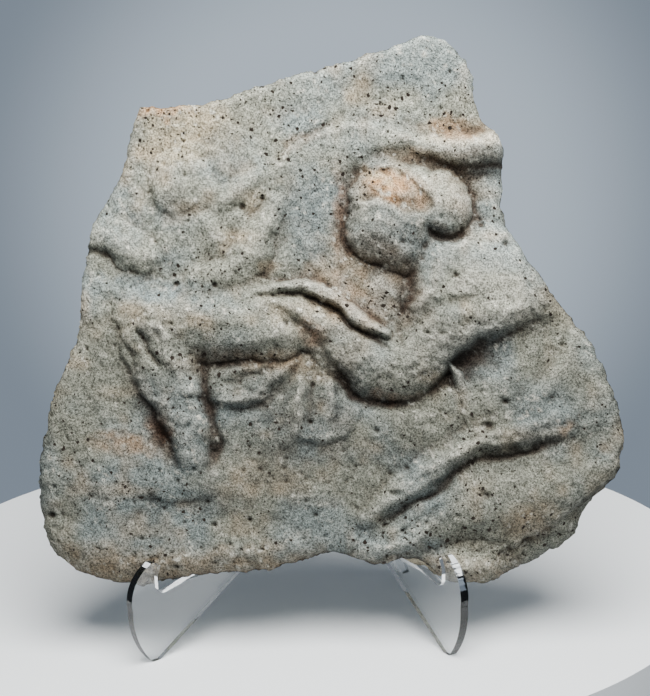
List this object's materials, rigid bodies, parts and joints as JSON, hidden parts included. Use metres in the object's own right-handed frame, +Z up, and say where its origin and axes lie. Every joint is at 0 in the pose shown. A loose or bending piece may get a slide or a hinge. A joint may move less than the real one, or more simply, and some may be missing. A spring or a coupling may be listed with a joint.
{
  "type": "carved stone relief on a clear stand",
  "caption": "Broken slab of porous grey stone carved with draped figures in high relief, leaning on crossed clear plates with hooked feet.",
  "frame": {"origin": "centre of the bounding box at the height of the surface that the feet stand on", "axes": "+Z up, the carved front faces -Y, +X to the viewer's right"},
  "size_m": [0.3214, 0.1782, 0.3273],
  "materials": {
    "stone": "weathered and porous, grey-green with tan and brown patches",
    "clear_acrylic": "clear polished sheet"
  },
  "bodies": {
    "root": {"relief_slab": "stone", "stand_plate_left": "clear_acrylic", "stand_plate_right": "clear_acrylic"}
  },
  "joints": []
}
